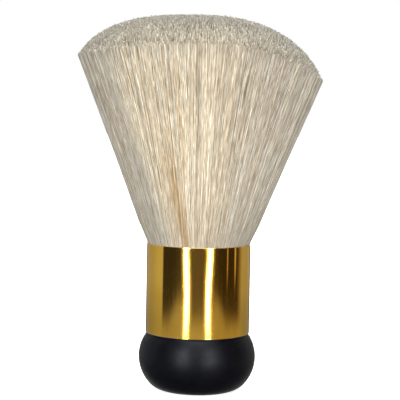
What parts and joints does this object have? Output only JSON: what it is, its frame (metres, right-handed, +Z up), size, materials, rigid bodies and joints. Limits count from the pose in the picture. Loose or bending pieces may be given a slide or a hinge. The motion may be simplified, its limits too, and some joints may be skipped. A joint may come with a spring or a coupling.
{
  "type": "neck duster brush",
  "caption": "Salon neck duster: a matt black knob handle, a gold drawn ferrule and a flared, dome-cut head of soft pale bristles for brushing off cut hair.",
  "frame": {"origin": "centre of the knob's flat underside", "axes": "+Z up along the handle to the bristle tips, +X across the wide side of the head towards its lower corner, +Y away from the front"},
  "size_m": [0.105, 0.081, 0.1615],
  "materials": {
    "black_lacquer": "satin",
    "gold_anodised": "polished",
    "adhesive": "satin",
    "fibre_board": "matte",
    "cast_resin": "gloss",
    "cotton_thread": "matte",
    "plug_wood": "matte",
    "bristle": "matte"
  },
  "bodies": {
    "root": {"knob": "black_lacquer", "ferrule": "gold_anodised", "ferrule_glue": "adhesive", "backing_disc": "fibre_board", "root_resin": "cast_resin", "knot_thread": "cotton_thread", "filler_plug": "plug_wood", "bristle_core": "bristle", "bristle_middle": "bristle", "bristle_lock_left": "bristle", "bristle_lock_front_left": "bristle", "bristle_lock_front": "bristle", "bristle_lock_right": "bristle", "bristle_lock_back": "bristle"}
  },
  "joints": []
}
